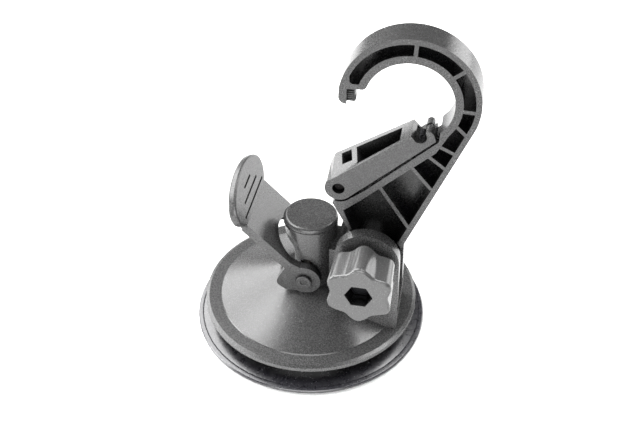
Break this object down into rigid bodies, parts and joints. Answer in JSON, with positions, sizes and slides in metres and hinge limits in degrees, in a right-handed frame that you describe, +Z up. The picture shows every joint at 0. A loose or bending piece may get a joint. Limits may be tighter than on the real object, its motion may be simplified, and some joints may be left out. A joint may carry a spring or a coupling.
{
  "type": "suction cup ring mount",
  "caption": "Suction cup mount with a cam lever on its post and a lobed knob that clamps a tilting arm, which ends in an open ring closed by a latched gate.",
  "frame": {"origin": "centre of the film's underside, on the surface that the cup stands on", "axes": "+Z up, square to the surface; -Y towards the front, where the knob is; +X towards the side that the arm stands on"},
  "size_m": [0.1114, 0.0916, 0.131],
  "materials": {
    "film": "clear, glossy",
    "cup_rubber": "glossy soft PVC, near black",
    "nylon": "plain moulded nylon",
    "steel": "plain drawn or stamped steel",
    "black_steel": "black oxide",
    "housing_plastic": "satin moulded ABS",
    "lever_plastic": "satin moulded nylon",
    "knob_plastic": "satin moulded nylon",
    "arm_plastic": "satin moulded nylon",
    "pin_plastic": "dark plain pin"
  },
  "bodies": {
    "base": {"protective_film": "film", "suction_cup": "cup_rubber", "base_housing": "housing_plastic", "post_cap": "housing_plastic", "return_spring": "steel", "clamp_bolt": "black_steel", "clamp_washer": "steel"},
    "plunger": {"core_disc": "nylon", "stem": "nylon", "lever_axle": "steel", "axle_clip": "steel"},
    "lever": {"cam_lever": "lever_plastic"},
    "knob": {"clamp_knob": "knob_plastic", "knob_nut": "black_steel"},
    "arm": {"hook_arm": "arm_plastic", "gate_pin": "pin_plastic"},
    "gate": {"gate": "arm_plastic", "latch_pin": "steel", "latch_spring": "steel"},
    "latch": {"latch_pawl": "lever_plastic"}
  },
  "joints": [
    {"name": "lever_pivot", "type": "hinge", "parent": "plunger", "child": "lever", "pos_m": [0, 0, 0.028], "axis": [0, -1, 0], "range_deg": [0, 68]},
    {"name": "stem_lift", "type": "slide", "parent": "base", "child": "plunger", "axis": [0, 0, 1], "range_m": [0, 0.0046], "deforming": ["return_spring"]},
    {"name": "arm_tilt", "type": "hinge", "parent": "base", "child": "arm", "pos_m": [0.0232, 0, 0.0428], "axis": [0, 1, 0], "range_deg": [-28, 90]},
    {"name": "knob_turn", "type": "hinge", "parent": "base", "child": "knob", "pos_m": [0.0232, 0, 0.0428], "axis": [0, 1, 0], "continuous": true},
    {"name": "gate_swing", "type": "hinge", "parent": "arm", "child": "gate", "pos_m": [0.0118, 0, 0.0707], "axis": [0, -1, 0], "range_deg": [0, 38]},
    {"name": "latch_press", "type": "hinge", "parent": "gate", "child": "latch", "pos_m": [0.03681, 0, 0.09172], "axis": [0, 1, 0], "range_deg": [0, 6], "stiffness_Nm_per_rad": 0.003, "springref_deg": -5.73}
  ],
  "couplings": [
    {"joint": "stem_lift", "follows": "lever_pivot", "m_per_rad": 0.0038759}
  ]
}
